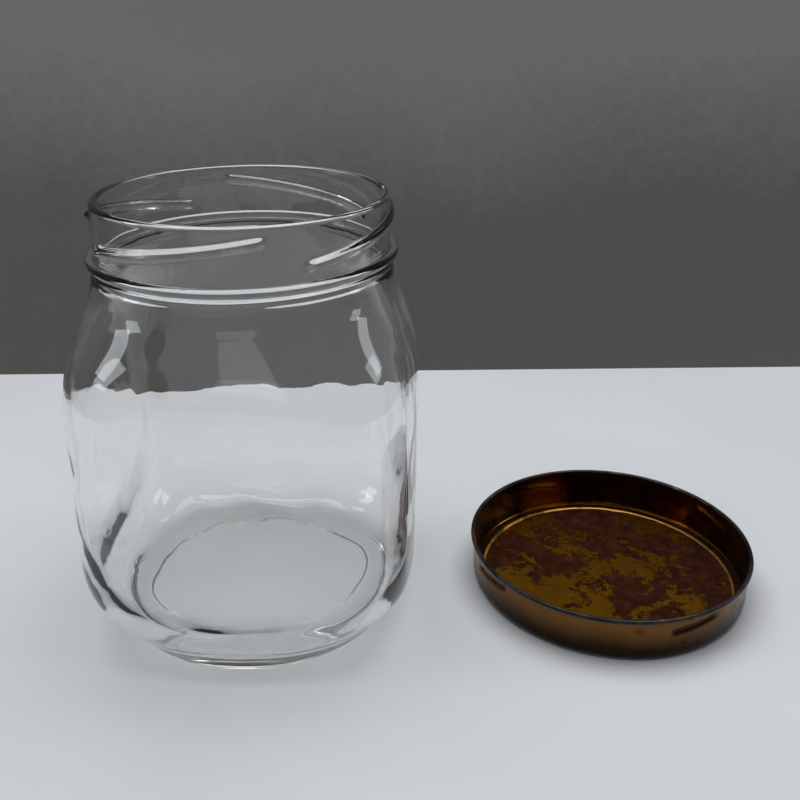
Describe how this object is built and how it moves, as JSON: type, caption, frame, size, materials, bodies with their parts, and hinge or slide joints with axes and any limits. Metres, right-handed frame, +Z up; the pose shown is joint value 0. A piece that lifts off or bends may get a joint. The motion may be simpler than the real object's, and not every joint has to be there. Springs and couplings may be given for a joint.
{
  "type": "lidded glass canister",
  "caption": "Wide-mouth clear glass canister, rounded-square body and threaded neck, with its pressed tinplate screw lid lying open side up beside it.",
  "frame": {"origin": "middle of the jar's foot, on the surface that the jar and the lid lie on", "axes": "+Z up along the jar's axis, +X from the jar towards the lid, +Y away from the side it is looked at from"},
  "size_m": [0.2989, 0.1452, 0.186],
  "materials": {
    "clear_glass": "clear, faintly grey-green moulded soda glass, glossy",
    "lacquered_tinplate": "worn gold lacquer on tinplate, rust-blotched, semi-gloss",
    "sealing_compound": "amber flowed-in sealing compound, satin"
  },
  "bodies": {
    "jar": {"jar": "clear_glass"},
    "lid": {"lid_shell": "lacquered_tinplate", "lid_seal": "sealing_compound"}
  },
  "joints": [
    {"name": "lid_lift", "type": "slide", "parent": "jar", "child": "lid", "axis": [0, 0, 1], "range_m": [0, 0.2]}
  ]
}
